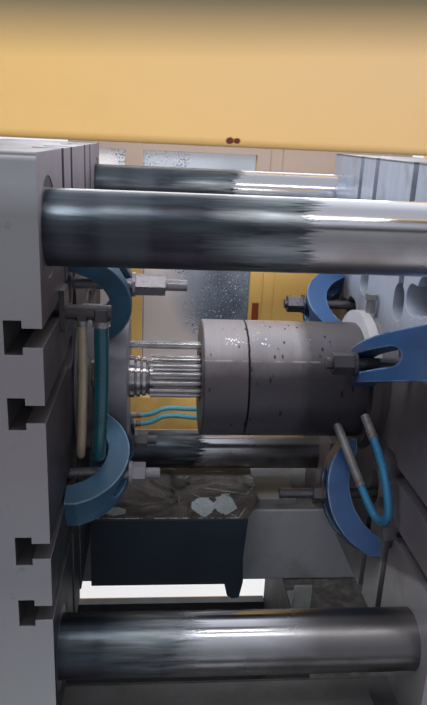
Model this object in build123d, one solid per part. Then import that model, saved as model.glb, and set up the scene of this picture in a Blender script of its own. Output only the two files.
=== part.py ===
"""Clamping unit of an injection moulding machine, standing on its own bed.

The origin is on the floor, under the middle of the bed.  +X runs along the tie bars from
the clamp cylinder to the fixed platen, +Y is the rear of the machine, +Z is up.
The mould stands open: the moving platen is on the left, the fixed platen on the right.
All sizes are in millimetres.
"""
from build123d import *
from math import cos, hypot, pi, radians, sin, tan
import os

os.makedirs("parts", exist_ok=True)

# driving sizes
axis_z = 1080
daylight = 460
bed_width = 860
bar_dia = 80
bar_pitch_y = 566
bar_pitch_z = 534
bar_edge_y = 62
bar_edge_z = 76
platen_width = bar_pitch_y + 2 * bar_edge_y
platen_height = bar_pitch_z + 2 * bar_edge_z
fixed_thick = 150
moving_thick = 170
tail_thick = 170
fit_gap = 0.1
running_gap = 0.08

# travel and room along the bars
open_travel = 200
close_travel = 105
drive_room = 364
nut_length = 70
bar_overhang = 8
bar_nut_r = 64
cylinder_length = 220
barrel_r = 160
ram_r = 90
end_room = 42

# T-slots in both mould faces
slot_offsets = (82.5, 165)
slot_neck = 20
slot_neck_depth = 20
slot_head = 36
slot_head_depth = 18
slot_end_y = 130
fixed_slot_ends_z = (142, 168)
moving_slot_ends_z = (122, 150)
keyhole_dia = 42
keyhole_run = 14

# mould, measured from its middle
flange_r = 112
flange_thick = 30
flange_disc = 15
mould_r = 92
ring_front = 46
ring_back = 21
core_plate_front = 157
core_r = 34
core_tip = 22
cavity_r = 40
cavity_depth = 145
pin_dia = 7
pin_count = 14
pillar_dia = 13
pillar_r = 52

# clamps: (y, height over the axis, heel radius, heel half width, nut length, stud end)
fixed_clamps = ((165, 82.5, 262, 26, 27, 116), (-165, 82.5, 300, 35, 28, 120),
                (-82.5, -162, 275, 26, 14, 150))
moving_clamps = ((-82.5, 165, 250, 26, 41, 155), (-165, -82.5, 250, 26, 18, 122),
                 (82.5, -150, 250, 26, 18, 118))
clamp_toe_r = 97
clamp_peak = 79
fixed_clamp_body = 34
moving_clamp_body = 29
clamp_half_width = 25
clamp_slot = 26
stud_dia = 16
washer_thick = 4.5
t_nut_length = 50
t_nut_thick = 14

# bed
foot_height = 60
cabinet_top = 522
beam_top = 700
beam_inner_y = 228
rail_width = 100
rail_thick = 12
sill_top = 322
sill_thick = 25
chute_length = 502

# guards
header_bottom = 1437
header_height = 263
sheet_thick = 20
track_depth = 38
track_top = 778
gate_thick = 24
gate_inset = 10
gate_overlap = 19
gate_rim = 45
gate_low_panel = 87
rear_gate_reach = (-300, 420)
rear_windows = ((-148, 89), (-262, -185))
rear_seams = (118, 143)
front_gate_length = 710
pane_thick = 6

# derived places
left_reach = daylight / 2 + moving_thick + drive_room + tail_thick + cylinder_length + end_room + 4
right_reach = daylight / 2 + fixed_thick + nut_length + bar_overhang + end_room
bed_length = left_reach + right_reach
bed_half = bed_length / 2
mould_x = bed_half - right_reach
bar_r = bar_dia / 2
bar_y = bar_pitch_y / 2
bar_z = bar_pitch_z / 2
fixed_face = mould_x + daylight / 2
moving_face = mould_x - daylight / 2
fixed_back = fixed_face + fixed_thick
moving_back = moving_face - moving_thick
tail_front = moving_back - drive_room
tail_back = tail_front - tail_thick
platen_bottom = axis_z - platen_height / 2
side_y = bed_width / 2
guard_y = side_y + track_depth + sheet_thick
guard_top = header_bottom + header_height
gate_top = header_bottom + gate_overlap
housing_end = moving_back - 45
pedestal_start = fixed_face - 58
cabinet_end = pedestal_start - chute_length
rail_y0 = beam_inner_y + 20
tray_top = axis_z - bar_z - bar_r - 8
bush_r = bar_r + 12
bar_points = [(sy * bar_y, axis_z + sz * bar_z) for sz in (1, -1) for sy in (-1, 1)]


# helpers
def block(x0, x1, y0, y1, z0, z1):
    """A plain block between two corners."""
    middle = ((x0 + x1) / 2, (y0 + y1) / 2, (z0 + z1) / 2)
    return Pos(*middle) * Box(x1 - x0, y1 - y0, z1 - z0)


def soft_block(x0, x1, y0, y1, z0, z1, radius, axis):
    """A block whose edges along one axis are rounded."""
    body = block(x0, x1, y0, y1, z0, z1)
    return fillet(body.edges().filter_by(axis), radius)


def rod_x(x0, x1, y, z, radius):
    """A round bar along X."""
    return Pos((x0 + x1) / 2, y, z) * Rot(0, 90, 0) * Cylinder(radius, x1 - x0)


def ring_x(x0, x1, y, z, outer, inner):
    """A ring along X."""
    return rod_x(x0, x1, y, z, outer) - rod_x(x0 - 1, x1 + 1, y, z, inner)


def turned_x(points, y, z):
    """A turned piece from (x, radius) points, turned about a line along X."""
    profile = make_face(Polyline(*[(x, r) for x, r in points], close=True))
    return Pos(0, y, z) * revolve(profile, Axis.X, 360)


def hex_x(x0, x1, y, z, across_flats):
    """A hexagon bar along X."""
    plane = Plane(origin=(x0, y, z), x_dir=(0, 1, 0), z_dir=(1, 0, 0))
    shape = RegularPolygon(across_flats / 2, 6, major_radius=False)
    return extrude(plane * shape, x1 - x0)


def save(shape, node):
    """Write one node."""
    shape.label = node
    export_step(shape, "parts/" + node + ".step")


def t_slot(face, inward, along, start, length):
    """One T-slot with a long keyhole at its inner end, as a cutting tool."""
    depth_dir = Vector(inward, 0, 0)
    run = Vector(*along)
    plane = Plane(origin=start, x_dir=depth_dir.cross(run), z_dir=run)
    half = slot_neck / 2
    wide = slot_head / 2
    low = slot_neck_depth
    deep = slot_neck_depth + slot_head_depth
    points = [(-half, -1), (half, -1), (half, low), (wide, low), (wide, deep)]
    points += [(-wide, deep), (-wide, low), (-half, low)]
    tool = extrude(plane * make_face(Polyline(*points, close=True)), length)
    middle = Vector(*start) + run * (keyhole_run / 2) - depth_dir
    mouth = Plane(origin=middle, x_dir=run, z_dir=depth_dir)
    return tool + extrude(mouth * SlotCenterToCenter(keyhole_run, keyhole_dia), deep + 1)


def slot_tools(face, inward, ends_z):
    """All sixteen T-slots of one mould face."""
    tools = []
    for offset, end_z in zip(slot_offsets, ends_z):
        for side in (-1, 1):
            z = axis_z + side * offset
            for way in (-1, 1):
                start = (face, way * slot_end_y, z)
                tools.append(t_slot(face, inward, (0, way, 0), start, platen_width / 2))
                start = (face, side * offset, axis_z + way * end_z)
                tools.append(t_slot(face, inward, (0, 0, way), start, platen_height / 2))
    return tools


def pockets(x0, x1):
    """Casting pockets between the ribs of a platen's back."""
    tools = []
    for sy in (-1, 1):
        for sz in (-1, 1):
            low, high = sorted((sy * 22, sy * 172))
            bottom, top = sorted((axis_z + sz * 168, axis_z + sz * 306))
            tools.append(soft_block(x0, x1, low, high, bottom, top, 24, Axis.X))
            low, high = sorted((sy * 182, sy * 312))
            bottom, top = sorted((axis_z + sz * 16, axis_z + sz * 146))
            tools.append(soft_block(x0, x1, low, high, bottom, top, 24, Axis.X))
    return tools


def platen_blank(x0, x1, bottom):
    """A platen with rounded vertical edges, down to the given height."""
    half = platen_width / 2
    return soft_block(x0, x1, -half, half, bottom, axis_z + platen_height / 2, 8, Axis.X)


def foot_cut(x0, x1):
    """Clears the middle below a platen, so that it stands on two feet."""
    return block(x0 - 1, x1 + 1, -beam_inner_y - 12, beam_inner_y + 12, beam_top - 1, platen_bottom)


# bed
def make_bed():
    front = -side_y
    cabinet = soft_block(-bed_half, cabinet_end, front, side_y, foot_height, cabinet_top, 12, Axis.Z)
    save(cabinet, "bed_cabinet")
    pedestal = soft_block(pedestal_start, bed_half, front, side_y, foot_height, cabinet_top, 12, Axis.Z)
    save(pedestal, "bed_pedestal")
    for name, side in (("bed_front_beam", -1), ("bed_rear_beam", 1)):
        low, high = sorted((side * beam_inner_y, side * side_y))
        beam = soft_block(-bed_half, bed_half, low, high, cabinet_top, beam_top, 6, Axis.X)
        save(beam, name)
    sills = []
    for side in (-1, 1):
        low, high = sorted((side * (side_y - sill_thick), side * side_y))
        sills.append(block(cabinet_end, pedestal_start, low, high, foot_height, sill_top))
    save(Compound(children=sills), "bed_sills")
    feet = []
    for x in (-bed_half + 110, -250, bed_half - 110):
        for side in (-1, 1):
            y = side * (side_y - 90)
            foot = Pos(x, y, 9) * Cylinder(65, 18)
            foot += Pos(x, y, 39) * Cylinder(24, 42)
            foot -= Pos(x + 44, y, 9) * Cylinder(7, 30)
            foot -= Pos(x - 44, y, 9) * Cylinder(7, 30)
            feet.append(foot)
    save(Compound(children=feet), "levelling_feet")


def make_rails():
    rails = []
    for side in (-1, 1):
        low, high = sorted((side * rail_y0, side * (rail_y0 + rail_width)))
        rails.append(block(tail_front + 30, fixed_face - 40, low, high, beam_top, beam_top + rail_thick))
    save(Compound(children=rails), "guide_rails")


# platens and bars
def make_platens():
    fixed = platen_blank(fixed_face, fixed_back, beam_top) - foot_cut(fixed_face, fixed_back)
    holes = [rod_x(fixed_face - 1, fixed_back + 1, y, z, bar_r + fit_gap) for y, z in bar_points]
    bore = turned_x([(fixed_face - 1, 0), (fixed_face - 1, 50), (fixed_face + 60, 50),
                     (fixed_back + 1, 95), (fixed_back + 1, 0)], 0, axis_z)
    bolts = [rod_x(fixed_back - 40, fixed_back + 1, sy * 210, axis_z + sz * 90, 12)
             for sy in (-1, 1) for sz in (-1, 1)]
    relief = []
    for sz in (-1, 1):
        for sy in (-1, 1):
            low, high = sorted((sy * 30, sy * 165))
            bottom, top = sorted((axis_z + sz * 195, axis_z + sz * 305))
            relief.append(soft_block(fixed_back - 70, fixed_back + 1, low, high, bottom, top, 20, Axis.X))
    fixed = fixed - holes - bore - bolts - relief - slot_tools(fixed_face, 1, fixed_slot_ends_z)
    save(fixed, "fixed_platen")

    moving = platen_blank(moving_back, moving_face, platen_bottom)
    holes = [rod_x(moving_back - 1, moving_face + 1, y, z, bush_r) for y, z in bar_points]
    eject = [rod_x(moving_back - 1, moving_face + 1, 0, axis_z, 20)]
    moving = moving - holes - eject - slot_tools(moving_face, -1, moving_slot_ends_z)
    moving = moving - pockets(moving_back - 1, moving_face - 70)
    save(moving, "moving_platen")

    tail = platen_blank(tail_back, tail_front, beam_top) - foot_cut(tail_back, tail_front)
    holes = [rod_x(tail_back - 1, tail_front + 1, y, z, bar_r + fit_gap) for y, z in bar_points]
    tail = tail - holes - rod_x(tail_back - 1, tail_front + 1, 0, axis_z, ram_r + 6)
    save(tail, "tail_platen")


def make_bars():
    names = ("tie_bar_upper_front", "tie_bar_upper_rear", "tie_bar_lower_front", "tie_bar_lower_rear")
    x0 = tail_back - nut_length - bar_overhang
    x1 = fixed_back + nut_length + bar_overhang
    for name, (y, z) in zip(names, bar_points):
        bar = turned_x([(x0, 0), (x0, bar_r - 4), (x0 + 4, bar_r), (x1 - 4, bar_r),
                        (x1, bar_r - 4), (x1, 0)], y, z)
        save(bar, name)
    nuts = []
    for y, z in bar_points:
        for a, b in ((tail_back - nut_length, tail_back), (fixed_back, fixed_back + nut_length)):
            nut = ring_x(a, b, y, z, bar_nut_r, bar_r + fit_gap)
            nut -= [Pos((a + b) / 2, y, z) * Rot(k * 60, 0, 0) * Pos(0, 0, bar_nut_r) * Box(30, 12, 14)
                    for k in range(6)]
            nuts.append(nut)
    save(Compound(children=nuts), "tie_bar_nuts")
    bushes = []
    for y, z in bar_points:
        bush = ring_x(moving_back, moving_face - 1, y, z, bush_r - fit_gap, bar_r + running_gap)
        bush += ring_x(moving_back - 10, moving_back, y, z, bush_r + 12, bar_r + running_gap)
        bushes.append(bush)
    save(Compound(children=bushes), "platen_bushes")


def make_drive():
    x0 = tail_back - cylinder_length
    bore_end = x0 + 24
    head_r = barrel_r + 12
    foot_r = barrel_r + 18
    bore_r = ram_r + 6
    barrel = turned_x([(x0, 0), (x0, head_r - 22), (x0 + 14, head_r), (x0 + 40, head_r),
                       (x0 + 44, barrel_r), (tail_back - 44, barrel_r), (tail_back - 40, foot_r),
                       (tail_back, foot_r), (tail_back, bore_r), (bore_end, bore_r), (bore_end, 0)],
                      0, axis_z)
    save(barrel, "clamp_cylinder")
    gland = ring_x(tail_front, tail_front + 22, 0, axis_z, ram_r + 44, ram_r + running_gap)
    save(gland, "cylinder_gland")
    ram_end = bore_end + open_travel + 10
    foot_r = ram_r + 38
    ram = turned_x([(ram_end, 0), (ram_end, ram_r - 6), (ram_end + 6, ram_r), (moving_back - 26, ram_r),
                    (moving_back - 26, foot_r), (moving_back, foot_r), (moving_back, 0)], 0, axis_z)
    save(ram, "clamp_ram")
    shoes = []
    for side in (-1, 1):
        low, high = sorted((side * (rail_y0 + 2), side * (platen_width / 2 - 5)))
        top = platen_bottom
        shoe = block(moving_back - 40, moving_face - 12, low, high, beam_top + rail_thick + 0.2, top)
        shoes.append(fillet(shoe.edges().filter_by(Axis.Y), 5))
    save(Compound(children=shoes), "slide_shoes")


# mould
def make_mould():
    disc = fixed_face - flange_thick
    flange = turned_x([(disc, 12), (disc, flange_r), (disc + flange_disc, flange_r),
                       (disc + flange_disc, flange_r - 9), (fixed_face, flange_r - 9),
                       (fixed_face, 12)], 0, axis_z)
    save(flange, "mould_fixed_flange")
    seam = mould_x + ring_back
    front = mould_x - ring_front
    floor_x = front + cavity_depth
    tip = mould_x - core_tip
    pillar_tip = tip - 8
    bore_end = pillar_tip + close_travel + 10
    pillar_bore = rod_x(front - 1, bore_end, 0, axis_z + pillar_r, pillar_dia / 2 + 1.5)
    body = turned_x([(seam, cavity_r), (seam, mould_r - 1.5), (seam + 1.5, mould_r), (disc, mould_r),
                     (disc, 6), (floor_x, 6), (floor_x, cavity_r)], 0, axis_z)
    save(body - pillar_bore, "mould_cavity_body")
    ring = turned_x([(front, cavity_r), (front, mould_r - 1.5), (front + 1.5, mould_r),
                     (seam - 1.5, mould_r), (seam, mould_r - 1.5), (seam, cavity_r)], 0, axis_z)
    save(ring - pillar_bore, "mould_cavity_ring")
    plate_x = mould_x - core_plate_front
    back = moving_face + flange_thick
    save(rod_x(moving_face, back, 0, axis_z, flange_r), "mould_moving_flange")
    plate = turned_x([(back, 0), (back, 94), (plate_x - 2, 94), (plate_x, 92), (plate_x, 0)], 0, axis_z)
    save(plate, "mould_core_plate")
    cone_end = plate_x + 37
    profile = [(plate_x, 0), (plate_x, core_r)]
    for k in range(3):
        x = plate_x + 8 + 9 * k
        r = core_r - 1.5 * k
        profile += [(x, r), (x + 2, r - 4), (x + 4, r - 1)]
    profile += [(cone_end, core_r - 3), (cone_end, core_r - 14), (tip - 4, core_r - 14), (tip, core_r - 18)]
    core = turned_x(profile + [(tip, 0)], 0, axis_z)
    pin_circle = core_r - pin_dia / 2
    pins = []
    for k in range(pin_count):
        angle = 2 * pi * (k + 0.5) / pin_count
        y = pin_circle * sin(angle)
        z = axis_z + pin_circle * cos(angle)
        pins.append(rod_x(cone_end - 5, tip - 10, y, z, pin_dia / 2))
    pillar = rod_x(plate_x, pillar_tip, 0, axis_z + pillar_r, pillar_dia / 2)
    save(Compound(children=[core + pins, pillar]), "mould_core")


# mould clamps
def clamp_arch(face, normal, bolt_y, bolt_z, heel, heel_half, thick):
    """One forged arch clamp: toe on the mould flange, heel on the platen, slot for the stud."""
    span = hypot(bolt_y, bolt_z)
    radial = Vector(0, bolt_y / span, bolt_z / span)
    out = Vector(normal, 0, 0)
    plane = Plane(origin=(face, 0, axis_z), x_dir=radial, z_dir=radial.cross(out))
    toe = clamp_toe_r
    foot = flange_thick
    outer = ThreePointArc((toe, foot + 16), (span - 8, clamp_peak), (heel, 14))
    inner = ThreePointArc((heel - 28, 0), (span - 12, clamp_peak - thick), (toe + 20, foot))
    side = make_face([outer, Polyline((heel, 14), (heel, 0), (heel - 28, 0)), inner,
                      Polyline((toe + 20, foot), (toe, foot), (toe, foot + 16))])
    body = extrude(plane * side, heel_half, both=True)
    flat = Plane(origin=(face, 0, axis_z), x_dir=radial, z_dir=out)
    half = clamp_half_width
    outline = Polyline((toe - 1, half - 3), (span, half), (heel + 1, heel_half), (heel + 1, -heel_half),
                       (span, -half), (toe - 1, 3 - half), close=True)
    body = body & extrude(flat * make_face(outline), 120)
    slot_start = span - 38
    slot_end = heel - 30
    middle = Pos((slot_start + slot_end) / 2, 0)
    slot = middle * SlotOverall(slot_end - slot_start, clamp_slot)
    return body - extrude(flat * slot, 120)


def clamp_stud(face, normal, bolt_y, bolt_z, nut, end):
    """One stud with its T-nut in the slot, its washer and its hexagon nut."""
    y = bolt_y
    z = axis_z + bolt_z
    low = slot_neck_depth + 1
    a, b = sorted((face - normal * low, face - normal * (low + t_nut_thick)))
    along_y = t_nut_length / 2 if abs(bolt_y) > abs(bolt_z) else slot_head / 2 - 1
    along_z = slot_head / 2 - 1 if abs(bolt_y) > abs(bolt_z) else t_nut_length / 2
    stud = block(a, b, y - along_y, y + along_y, z - along_z, z + along_z)
    a, b = sorted((face - normal * (low + 6), face + normal * end))
    stud += rod_x(a, b, y, z, stud_dia / 2)
    seat = clamp_peak + 0.5
    a, b = sorted((face + normal * seat, face + normal * (seat + washer_thick)))
    stud += rod_x(a, b, y, z, 17)
    a, b = sorted((face + normal * (seat + washer_thick), face + normal * (seat + washer_thick + nut)))
    stud += hex_x(a, b, y, z, 27)
    return stud


def make_clamps():
    for names, face, normal, thick, places in (
            (("mould_clamps_fixed", "clamp_studs_fixed"), fixed_face, -1, fixed_clamp_body, fixed_clamps),
            (("mould_clamps_moving", "clamp_studs_moving"), moving_face, 1, moving_clamp_body,
             moving_clamps)):
        arches = [clamp_arch(face, normal, y, z, heel, half, thick) for y, z, heel, half, nut, end in places]
        save(Compound(children=arches), names[0])
        studs = [clamp_stud(face, normal, y, z, nut, end) for y, z, heel, half, nut, end in places]
        save(Compound(children=studs), names[1])


# tray and curtain
def make_tray():
    x0 = moving_face
    x1 = mould_x + 92
    outline = Polyline((x0, 90), (mould_x + 58, 90), (x1, 150), (x1, 330), (x0, 330), close=True)
    sheet = Pos(0, 0, tray_top - 3) * extrude(make_face(outline), 3)
    sheet -= block(x0 - 1, x0 + 16, bar_y - 66, bar_y + 66, tray_top - 4, tray_top + 1)
    sheet += block(x0, x0 + 4, 90, 210, tray_top - 28, tray_top)
    sheet += block(x0, mould_x + 58, 90, 93, tray_top - 14, tray_top)
    save(sheet, "drip_tray")
    low = tray_top - 142
    flap = low - 34
    end = mould_x + 62
    points = [(x0, tray_top), (x0, low), (mould_x + 24, low), (mould_x + 30, flap + 8), (mould_x + 40, flap)]
    points += [(end - 8, flap + 3), (end - 2, low + 6), (end - 5, low + 60), (end, tray_top)]
    side = Plane(origin=(0, 90, 0), x_dir=(1, 0, 0), z_dir=(0, -1, 0))
    save(extrude(side * make_face(Polyline(*points, close=True)), 6), "rubber_curtain")


# hoses
# Routes are (x from the mould middle, y, height from the machine axis).
yellow_route = [(-206, -208, 148), (-206, -208, 76), (-209, -208, 0), (-212, -198, -38),
                (-214, -176, -46), (-215, -148, -26), (-216, -124, 6), (-216, -124, 40)]
teal_route = [(-183, -208, 148), (-183, -208, 76), (-186, -208, 0), (-189, -198, -38),
              (-191, -180, -46), (-193, -150, -26), (-194, -124, 6), (-194, -124, 40)]
rear_route = [(-150, 130, -124), (-124, 130, -124), (-98, 132, -108), (-40, 134, -114), (8, 134, -104),
              (44, 134, -94), (72, 134, -96), (84, 134, -114), (72, 133, -132), (44, 131, -134),
              (8, 129, -130), (-40, 127, -127), (-98, 126, -120), (-124, 126, -139), (-150, 126, -139)]
blue_route = [(199, -130, -38), (202, -162, -54), (208, -184, -86), (214, -196, -128),
              (213, -188, -148), (211, -169, -158), (205, -149, -153), (190, -124, -116)]
yellow_dia = 12
teal_dia = 18
rear_dia = 9
blue_dia = 12


def hose(route, dia, node):
    """A hose: straight runs joined by tangent arcs, swept with a round section."""
    points = [Vector(mould_x + x, y, axis_z + z) for x, y, z in route]
    radii = []
    for a, b, c in zip(points, points[1:], points[2:]):
        turn = radians((b - a).get_angle(c - b))
        radii.append(0.45 * min((b - a).length, (c - b).length) / tan(turn / 2))
    print(node, "radii", [round(r) for r in radii])
    path = FilletPolyline(*points, radius=radii)
    tube = sweep(Plane(origin=points[0], z_dir=points[1] - points[0]) * Circle(dia / 2), path)
    expected = path.length * pi * dia * dia / 4
    print(node, "length", round(path.length, 1), "volume ratio", round(tube.volume / expected, 4))
    save(tube, node)


def make_hoses():
    hose(yellow_route, yellow_dia, "hose_yellow")
    hose(teal_route, teal_dia, "hose_teal")
    hose(rear_route, rear_dia, "hose_rear")
    hose(blue_route, blue_dia, "hose_blue")
    (x, y, z), plate = yellow_route[0], 6
    pipe_z = axis_z + z + 9
    manifold = block(moving_face, moving_face + plate, y - 20, y + 20, pipe_z - 20, pipe_z + 30)
    manifold += rod_x(moving_face + plate, mould_x + teal_route[0][0] + 12, y, pipe_z, 9)
    for route, dia in ((yellow_route, yellow_dia), (teal_route, teal_dia)):
        union = extrude(RegularPolygon(dia / 2 + 4, 6), 14)
        manifold += Pos(mould_x + route[0][0], y, axis_z + z) * union
    save(manifold, "hose_manifold")
    discs = rod_x(moving_face, moving_face + flange_thick, 0, axis_z, flange_r)
    discs += rod_x(moving_face + flange_thick, mould_x - core_plate_front, 0, axis_z, 94)
    elbows = []
    for route, dia in ((yellow_route, yellow_dia), (teal_route, teal_dia)):
        x, y, z = route[-1]
        elbow = Pos(mould_x + x, y, axis_z + z + 13) * Cylinder(dia / 2 + 1, 26)
        elbow += Pos(mould_x + x, y + 21, axis_z + z + 15) * Rot(90, 0, 0) * Cylinder(7, 42)
        elbows.append(elbow - discs)
    (x, y, z), low_end = rear_route[0], rear_route[-1]
    back = mould_x + x - 22
    twin = block(back, back + 14, y - 13, y + 9, axis_z + low_end[2] - 8, axis_z + z + 8)
    for end in (rear_route[0], low_end):
        twin += rod_x(back + 6, mould_x + x, end[1], axis_z + end[2], 6)
    reach = hypot(y, z)
    start = Vector(back + 7, y, axis_z + z)
    inward = Vector(0, -y / reach, -z / reach)
    twin += extrude(Plane(origin=start, z_dir=inward) * Circle(6), reach - 85)
    elbows.append(twin - discs)
    save(Compound(children=elbows), "hose_elbows")
    nipples = []
    disc = rod_x(fixed_face - flange_thick, fixed_face, 0, axis_z, flange_r)
    body = rod_x(mould_x, fixed_face - flange_thick, 0, axis_z, mould_r)
    for end, near, reach in ((blue_route[0], blue_route[1], 34), (blue_route[-1], blue_route[-2], 98)):
        start = Vector(mould_x + end[0], end[1], axis_z + end[2])
        back = (start - Vector(mould_x + near[0], near[1], axis_z + near[2])).normalized()
        nipple = extrude(Plane(origin=start, z_dir=back) * Circle(blue_dia / 2 + 1), reach)
        nipples.append(nipple - disc - body)
    riser = Pos(fixed_face - 12, 0, axis_z + 120) * Cylinder(7, 40)
    riser += Pos(fixed_face - 12, 0, axis_z + 133) * extrude(RegularPolygon(10, 6), 9)
    neck = rod_x(fixed_face - flange_thick + flange_disc, fixed_face, 0, axis_z, flange_r - 9)
    nipples.append(riser - neck - disc)
    save(Compound(children=nipples), "hose_nipples")


# guards
def make_guards():
    y0 = -guard_y
    y1 = -guard_y + sheet_thick
    header = soft_block(housing_end - 15, bed_half, y0, y1, header_bottom, guard_top, 6, Axis.X)
    save(header, "top_front_cover")
    housing = soft_block(-bed_half, housing_end, -side_y, side_y, beam_top, guard_top, 14, Axis.X)
    housing -= block(-bed_half + 4, housing_end + 1, -side_y + 4, side_y - 4, beam_top - 1, guard_top - 4)
    save(housing, "clamp_housing")
    frame = []
    for side in (-1, 1):
        low, high = sorted((side * (side_y - 40), side * side_y))
        frame.append(block(bed_half - 60, bed_half, low, high, beam_top, guard_top))
    frame.append(block(-bed_half, bed_half, -guard_y + sheet_thick, -side_y, guard_top - 60, guard_top))
    frame.append(block(-bed_half, bed_half, side_y, guard_y, guard_top - 60, guard_top))
    save(Compound(children=frame), "guard_frame")
    tracks = []
    for side in (-1, 1):
        low, high = sorted((side * side_y, side * (side_y + track_depth)))
        tracks.append(block(-bed_half, bed_half, low, high, track_top - 38, track_top))
        guide = block(-bed_half, bed_half, low, high, gate_top - 14, gate_top + 14)
        near = side_y + gate_inset - 5
        low, high = sorted((side * near, side * (near + gate_thick + 10)))
        guide -= block(-bed_half - 1, bed_half + 1, low, high, gate_top - 15, gate_top + 8)
        tracks.append(guide)
    save(Compound(children=tracks), "gate_tracks")


def make_gate(name, x0, x1, inner_y, side, z0, windows, seams):
    """A sliding gate: windows, folded seams on the inner face, wheel pockets in its lower edge."""
    w0 = track_top + gate_low_panel
    w1 = gate_top - gate_rim
    y0, y1 = sorted((side * inner_y, side * (inner_y + gate_thick)))
    panel = soft_block(x0, x1, y0, y1, z0, gate_top, 6, Axis.Y)
    for a, b in windows:
        panel -= block(a, b, y0 - 1, y1 + 1, w0, w1)
    for x in seams:
        low, high = sorted((side * (inner_y - 1), side * (inner_y + 2)))
        panel -= block(x - 1.5, x + 1.5, low, high, z0 + 40, gate_top - 20)
    for x in (x0 + 80, x1 - 80):
        panel -= block(x - 20, x + 20, y0 + 6, y1 - 6, z0 - 1, z0 + 30)
    save(panel, name)
    mid = (y0 + y1) / 2
    panes = [block(a, b, mid - pane_thick / 2, mid + pane_thick / 2, w0, w1) for a, b in windows]
    save(Compound(children=panes), name + "_window")


def make_gates():
    inner = side_y + gate_inset
    x0 = mould_x + rear_gate_reach[0]
    x1 = mould_x + rear_gate_reach[1]
    windows = [(mould_x + a, mould_x + b) for a, b in rear_windows]
    make_gate("rear_gate", x0, x1, inner, 1, track_top + 7, windows, [mould_x + x for x in rear_seams])
    front_x0 = -bed_half + 20
    front_x1 = front_x0 + front_gate_length
    make_gate("front_gate", front_x0, front_x1, inner, -1, track_top, [(front_x0 + 100, front_x1 - 120)], [])
    latch = block(mould_x + 97, mould_x + 111, inner - 5, inner, axis_z - 26, axis_z + 16)
    save(latch, "rear_gate_latch")
    rollers = []
    for x in (x0 + 80, x1 - 80):
        y = inner + gate_thick / 2
        rollers.append(Pos(x, y, track_top + 15.2) * Rot(90, 0, 0) * Cylinder(15, 12))
    save(Compound(children=rollers), "rear_gate_rollers")


make_bed()
make_rails()
make_platens()
make_bars()
make_drive()
make_mould()
make_clamps()
make_tray()
make_hoses()
make_guards()
make_gates()
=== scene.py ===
"""Looks for the clamping unit of an injection moulding machine: materials, hoses, small fittings, dirt."""
import math

import bmesh
import bpy
from mathutils import Matrix, Vector


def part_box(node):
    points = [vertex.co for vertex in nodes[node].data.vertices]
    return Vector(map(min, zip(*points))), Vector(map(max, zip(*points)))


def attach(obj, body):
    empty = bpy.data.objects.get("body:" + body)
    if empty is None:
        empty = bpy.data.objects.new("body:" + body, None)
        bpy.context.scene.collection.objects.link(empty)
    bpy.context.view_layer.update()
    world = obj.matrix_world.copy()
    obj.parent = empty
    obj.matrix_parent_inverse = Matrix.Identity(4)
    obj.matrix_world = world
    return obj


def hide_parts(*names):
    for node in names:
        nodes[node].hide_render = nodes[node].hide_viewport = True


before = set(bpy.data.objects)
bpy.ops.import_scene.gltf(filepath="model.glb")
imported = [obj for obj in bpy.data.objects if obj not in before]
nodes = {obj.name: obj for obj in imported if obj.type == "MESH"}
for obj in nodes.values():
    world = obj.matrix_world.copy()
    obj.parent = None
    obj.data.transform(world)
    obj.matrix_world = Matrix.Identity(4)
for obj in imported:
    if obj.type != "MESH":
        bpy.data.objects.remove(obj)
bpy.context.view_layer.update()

# Places worked out from the frame, in metres.
BASE = "machine_base"
MOVING = "moving_platen_unit"
GATE = "rear_gate_unit"
FIXED_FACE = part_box("fixed_platen")[0][0]
MOVING_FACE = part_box("moving_platen")[1][0]
MOULD_X = (FIXED_FACE + MOVING_FACE) / 2
UPPER_Z = sum(corner[2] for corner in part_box("tie_bar_upper_front")) / 2
LOWER_Z = sum(corner[2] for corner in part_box("tie_bar_lower_front")) / 2
AXIS_Z = (UPPER_Z + LOWER_Z) / 2
SEAM_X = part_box("mould_cavity_body")[0][0]
COVER_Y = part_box("top_front_cover")[1][1]
HEADER_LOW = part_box("top_front_cover")[0][2]
PLATEN_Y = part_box("moving_platen")[1][1]
PLATEN_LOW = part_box("moving_platen")[0][2]
PLATEN_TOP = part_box("moving_platen")[1][2]
BED_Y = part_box("bed_cabinet")[1][1]
BED_END = 0.849  # just inside both ends of the bed
SHADOW_Z = 0.40  # the bed's inside is blackest below this height
TRAY_FRONT = 0.0925  # behind the tray's bright front rim

# Places of single marks that the photo shows.
COVER_RUST = (0.2852, 0, HEADER_LOW + 0.0045)
DROP_ROW_Z = (1.1505, 1.1600)
# The height of the painted highlight line on the mould.
MOULD_HIGHLIGHT_Z = (1.1320, 1.1330, 1.1340, 1.1350)
PANE_STREAK_X = (0.2035, 0.2065)
TRAY_PATCHES = ((0.164, 0.115, 0.020, 0.014), (0.331, 0.135, 0.024, 0.034), (0.374, 0.142, 0.022, 0.040))

# Doors, panels and grips, which the photo doesn't show.
DOOR_Z = (0.10, 0.49)
DOOR_THICK = 0.008
DOOR_PAIRS = ((-0.82, -0.43), (-0.01, -0.40))
HINGE_HEIGHTS = (0.15, 0.40)
SIDE_PANEL_X = (0.552, 0.82)
REAR_PANEL_X = (-0.80, -0.20)
REAR_PANEL_Z = (0.86, 1.40)
REAR_PANEL_THICK = 0.003
SLAT_PITCH = 0.022
SLAT_HEIGHT = 0.009
SLAT_DEPTH = 0.007
REAR_SLAT_DEPTH = 0.004
SIDE_VENTS_X = (0.60, 0.77)
REAR_VENTS_X = (-0.72, -0.28)
CATCH_Z = (0.255, 0.345)
GRIP_FOOT_HEIGHTS = (1.005, 1.195)
GRIP_BAR_Z = (0.985, 1.237)

# The bracket on the bed's pedestal, which the photo shows.
BRACKET_X = (0.5235, 0.560)
BRACKET_THICK = 0.006
BRACKET_BOLT_X = 0.542
BRACKET_BOLT_Y = (0.150, 0.172)


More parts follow.
